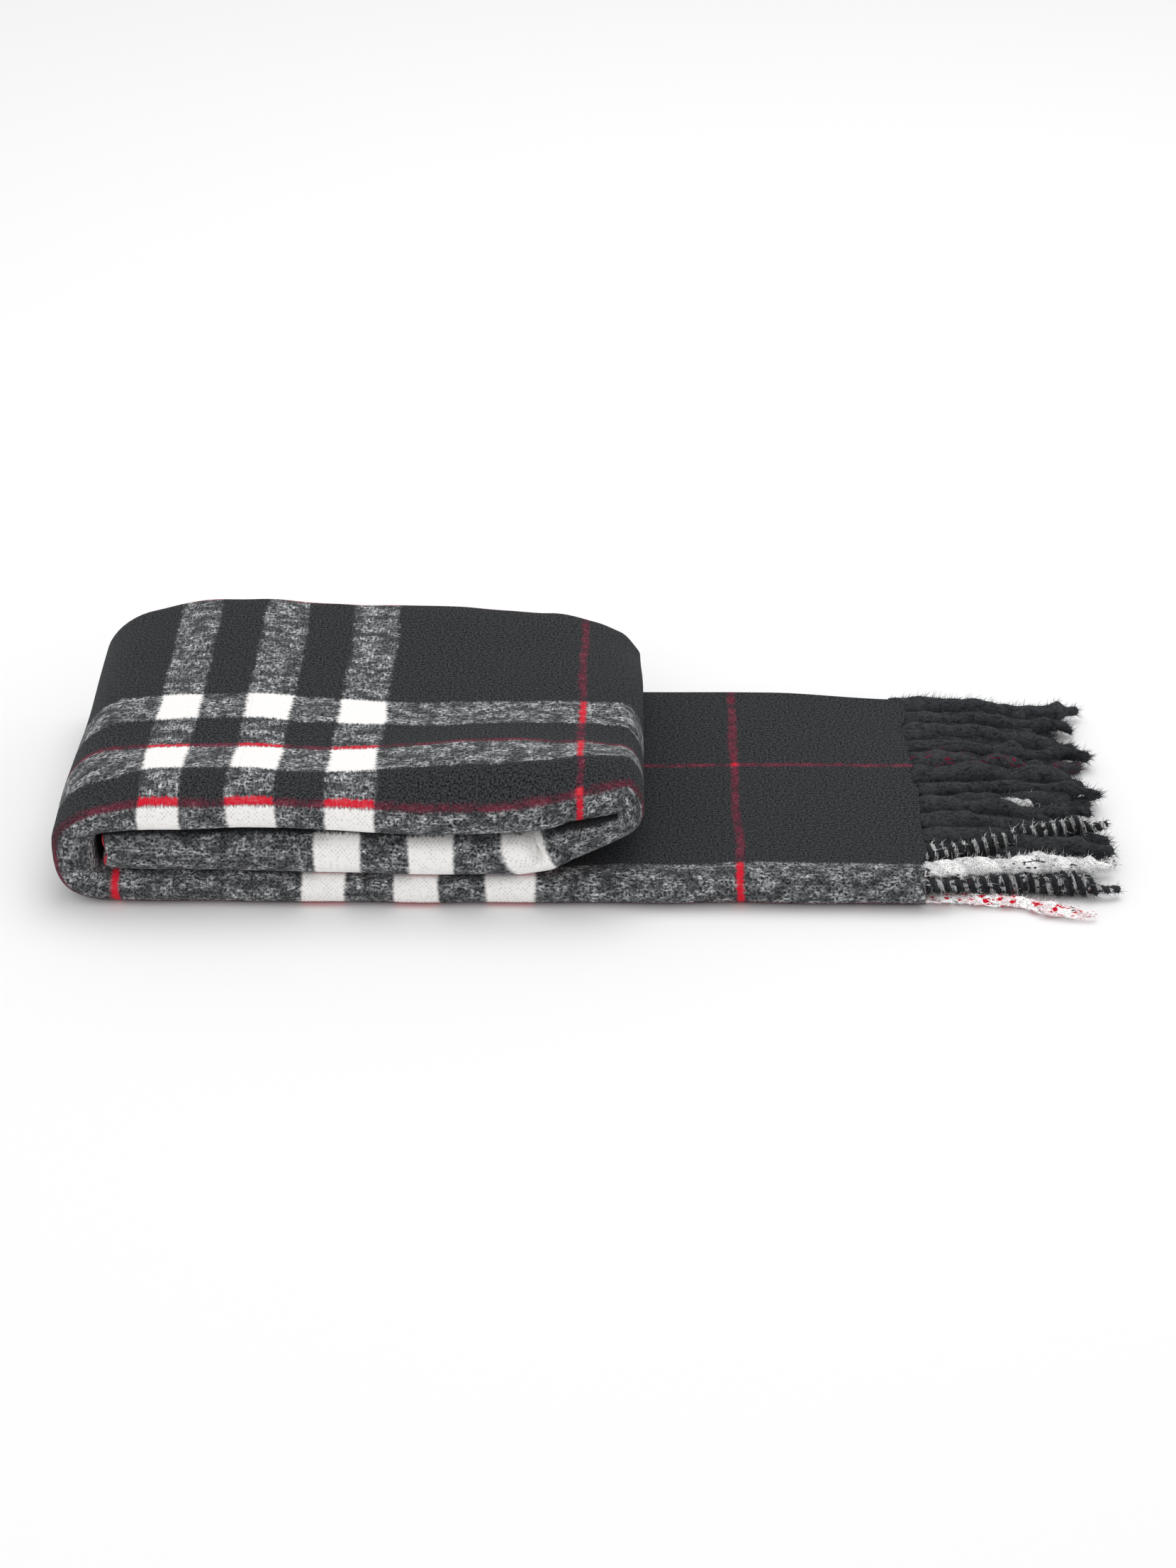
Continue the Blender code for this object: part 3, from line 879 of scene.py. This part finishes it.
def tassel(name, row, lane):
    """One tassel: a tube with two lobes, twisted along the way that the tassel wanders."""
    draw = random.Random(name)
    shift = LANE_PITCH / 4 * (1 if row % 2 else -1)
    lane_y = (lane - (LANES - 1) / 2) * LANE_PITCH + shift
    length = FRINGE_REACH - CLOTH_END - LAYER_GAP - (LOWER_SETBACK if row < 2 else 0)
    cut = UNEVEN_CUT * (0.15 if lane < FRONT_LANES else 1.0)
    length -= cut * math.sin(1.05 * (lane - LONGEST_LANE) + 0.85 * (row - 3)) ** 2
    slot = yarn_of(row, lane)
    kind = "edge_yarn" if name in THIN else "mixed_yarn" if name in MIXED else slot
    material = yarns[kind]
    mesh = plain_tassel.data.copy()
    flat = np.empty(len(mesh.vertices) * 3)
    mesh.vertices.foreach_get("co", flat)
    across, aside, along = flat.reshape(-1, 3).T
    along = (along + 1) / 2
    angle = np.arctan2(aside, across)
    reach = -TUCK + along * (length + TUCK)
    share = np.clip(reach / length, 0, 1)
    ease = share * share * (3 - 2 * share)

    def wave(size, turns):
        """A wave along the tassel that starts anywhere."""
        return size * np.sin(math.tau * (turns * share + draw.random()))

    drift, lift = STRAYS.get(name, (draw.uniform(-DRIFT, DRIFT), 0.0))
    freedom = 1.0 if lane < FRONT_LANES else 1.5
    slow = wave(SLOW_WAVE * freedom, draw.uniform(0.5, 0.9))
    quick = wave(QUICK_WAVE * freedom, draw.uniform(1.3, 2.1))
    y = lane_y * (0.965 - 0.035 * share) + ease * (slow + quick + drift)
    y += wave(SMALL_WAVE, 3.6) * ease
    # The tube is lumpy all along, thins at its tip and is cut off round
    radius = TASSEL_RADIUS * THIN.get(name, 1.0)
    radius *= draw.uniform(1 - 0.16 * freedom, 1 + 0.12 * freedom)
    tip = draw.uniform(0.80, 0.88)
    radius = radius * (1 - 0.55 * eased(share, tip, tip + 0.07))
    lumps = 0.10 * np.sin(17 * share + draw.uniform(0, 6)) * (1 - eased(share, tip, tip + 0.05))
    radius = radius * (1 + lumps)
    radius = radius * (1 + 0.04 * np.sin(41 * share + draw.uniform(0, 6)))
    radius = radius * (1 + 0.045 * np.sin(2 * angle + 190 * reach + draw.uniform(0, 6)))
    radius = radius * (1 + 0.035 * np.sin(3 * angle - 330 * reach + draw.uniform(0, 6)))
    radius = radius * np.sqrt(np.clip((1.002 - along) / 0.014, 0.02, 1))
    # The upper leaf's tassels droop, and none goes below the floor
    droop = (0.0048 + 0.0012 * eased(lane, 6, 11) if row > 1 else 0.0) * ease
    low = radius * 0.92 + 0.0003
    start_z = (LOWEST_ROW + row * ROW_RISE) * (1 - 0.13 * eased(lane_y, 0.0, 0.085))
    z = np.maximum(start_z - droop + lift * ease, low * eased(share, 0, 0.15))
    z += wave(UP_AND_DOWN, 2.3) * ease * (1 if row > 1 else 0)
    twist = math.tau * (reach / TWISTS[kind] + draw.random())
    flat_side = FLAT_SIDES.get(kind, 0.86)
    lobe = flat_side + (1 - flat_side) * np.abs(np.cos(angle)) ** 1.3
    spread = 1 - eased(reach, -TUCK, ROOT_SPREAD)
    side = radius * lobe * np.cos(angle + twist) * (1 + 0.42 * spread)
    rise = radius * lobe * np.sin(angle + twist) * (1 - 0.58 * spread)
    z = np.maximum(z + rise, 0.0004)
    x = CLOTH_END + LAYER_GAP + reach
    mesh.vertices.foreach_set("co", np.stack((x, y + side, z), 1).ravel())
    corners = np.empty(len(mesh.loops), dtype=int)
    mesh.loops.foreach_get("vertex_index", corners)
    seam = 0.5 + 0.5 * np.tanh(3.0 * np.cos(angle))
    mesh.uv_layers[0].name = "on_the_cloth"
    mesh.uv_layers[0].uv.foreach_set("vector", np.stack((seam[corners], share[corners]), 1).ravel())
    mesh.materials.append(material)
    body = bpy.data.objects.new(name, mesh)
    bpy.context.collection.objects.link(body)
    body.select_set(True)
    bpy.context.view_layer.objects.active = body
    bpy.ops.object.mode_set(mode="EDIT")
    bpy.ops.mesh.select_all(action="SELECT")
    bpy.ops.mesh.normals_make_consistent(inside=False)
    bpy.ops.object.mode_set(mode="OBJECT")
    bpy.ops.object.shade_smooth_by_angle(angle=math.radians(70))
    bpy.ops.object.select_all(action="DESELECT")

    # The dark tassels are brushed up the most
    dark = kind in ("black_yarn", "red_yarn")
    spots = draw.choices(range(len(mesh.vertices)), k=FLYAWAYS * 2 if dark else FLYAWAYS)
    roots = [mesh.vertices[spot].co.copy() for spot in spots]
    normals = [(mesh.vertices[spot].normal + Vector((0.9, 0, 0))).normalized() for spot in spots]
    uvs = [(seam[spot], share[spot]) for spot in spots]
    lengths = [draw.uniform(0.0012, 0.0054 if dark else 0.0044) for _ in spots]
    loose = fibres(name + "_flyaways", roots, normals, uvs, lengths, 0.40, draw, FLYAWAY_ROOT)
    loose.data.materials.append(material)
    piece = joined(name + "_yarn", [body, loose])
    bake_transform(piece)
    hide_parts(name)
    return piece


for row in range(4):
    for lane in range(LANES):
        leaf = "upper" if row > 1 else "lower"
        tassel(f"{leaf}_tassel_{row % 2 * LANES + lane + 1:02d}", row, lane)
bpy.data.objects.remove(plain_tassel)


# ---------------------------------------------------------------------------------------
# The studio: a plain white floor, a big soft light overhead, a weaker one from the front,
# an even white surround, and a long lens that looks down on the front edge.
# ---------------------------------------------------------------------------------------
FLOOR_SIZE = 14
CAMERA_DISTANCE = 1.5345
CAMERA_HEIGHT_ANGLE = 30.7
CAMERA_SIDE_ANGLE = 0.6
CAMERA_AIM = Vector((-0.0006, -0.0104, 0.020))

bpy.ops.mesh.primitive_plane_add(size=FLOOR_SIZE, location=(0, 0, -0.0004))
floor = bpy.context.object
floor.name = "floor"
paper = bpy.data.materials.new("white_paper")
paper.use_nodes = True
matte = paper.node_tree.nodes["Principled BSDF"]
matte.inputs["Base Color"].default_value = (0.93, 0.93, 0.935, 1)
matte.inputs["Roughness"].default_value = 1.0
matte.inputs["Specular IOR Level"].default_value = 0.0
floor.data.materials.append(paper)

surround = bpy.data.worlds.new("white_surround")
surround.use_nodes = True
glow = surround.node_tree.nodes["Background"]
glow.inputs["Color"].default_value = (1, 1, 1, 1)
glow.inputs["Strength"].default_value = 0.78
bpy.context.scene.world = surround


def soft_light(name, place, aim, size, power):
    bpy.ops.object.light_add(type="AREA", location=place)
    lamp = bpy.context.object
    lamp.name = name
    lamp.data.shape = "DISK"
    lamp.data.size = size
    lamp.data.energy = power
    lamp.rotation_euler = (Vector(aim) - Vector(place)).to_track_quat("-Z", "Y").to_euler()
    return lamp


soft_light("overhead_softbox", (0.25, 0.5, 1.7), (0, 0, 0), 1.4, 11.0)
soft_light("front_softbox", (-0.6, -1.6, 1.1), (0, 0, 0.02), 1.2, 3.4)

bpy.ops.object.camera_add()
camera = bpy.context.object
camera.name = "camera"
camera.data.lens = 75
camera.data.sensor_width = 36
camera.data.sensor_fit = "AUTO"
raised = math.radians(CAMERA_HEIGHT_ANGLE)
swung = math.radians(CAMERA_SIDE_ANGLE)
back = Vector((math.sin(swung) * math.cos(raised), -math.cos(swung) * math.cos(raised), math.sin(raised)))
camera.location = CAMERA_AIM + back * CAMERA_DISTANCE
camera.rotation_euler = (-back).to_track_quat("-Z", "Y").to_euler()
bpy.context.scene.camera = camera
bpy.context.scene.view_settings.view_transform = "Standard"
